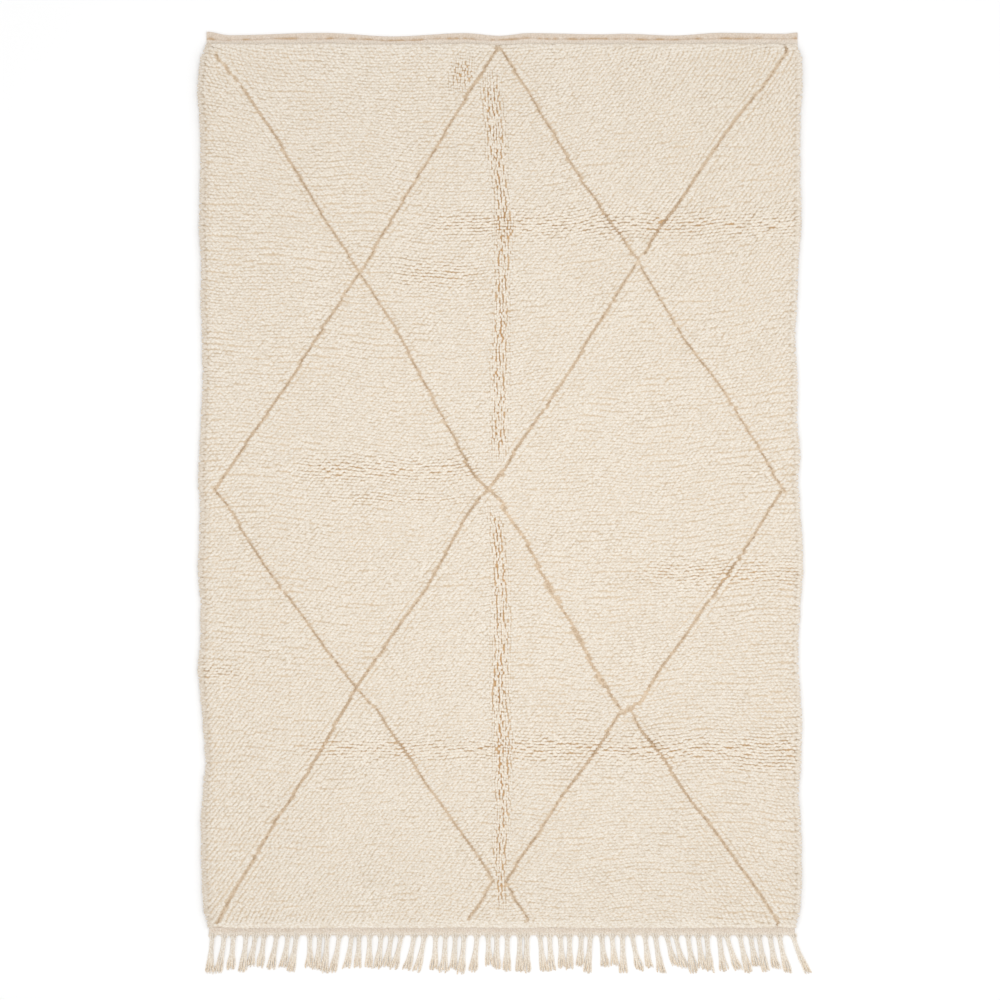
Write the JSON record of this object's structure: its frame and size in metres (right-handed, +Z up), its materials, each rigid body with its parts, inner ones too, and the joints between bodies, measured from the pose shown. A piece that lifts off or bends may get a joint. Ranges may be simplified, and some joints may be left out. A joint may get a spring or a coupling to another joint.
{
  "type": "beni ourain rug",
  "caption": "Hand-knotted wool pile rug lying flat, with a lozenge lattice, a flat-woven heading at one end and plied warp fringe at the other.",
  "frame": {"origin": "on the floor, under the middle of the rug's outline, fringe included", "axes": "X across the rug's width, Y along its length with the fringe at -Y and the heading at +Y, Z up out of the pile"},
  "size_m": [2.0252, 3.1114, 0.0265],
  "materials": {
    "pile_wool": "undyed cream wool pile of soft knotted tufts, warmer between the tufts, with thin tan-brown lozenge lines",
    "head_weave": "flat-woven undyed wool in pinkish beige with a corded edge",
    "fringe_yarn": "flat-woven strip and plied wool warp yarns in pinkish beige, darker between the yarns"
  },
  "bodies": {
    "root": {"pile_field": "pile_wool", "head_band": "head_weave", "foot_fringe": "fringe_yarn"}
  },
  "joints": []
}
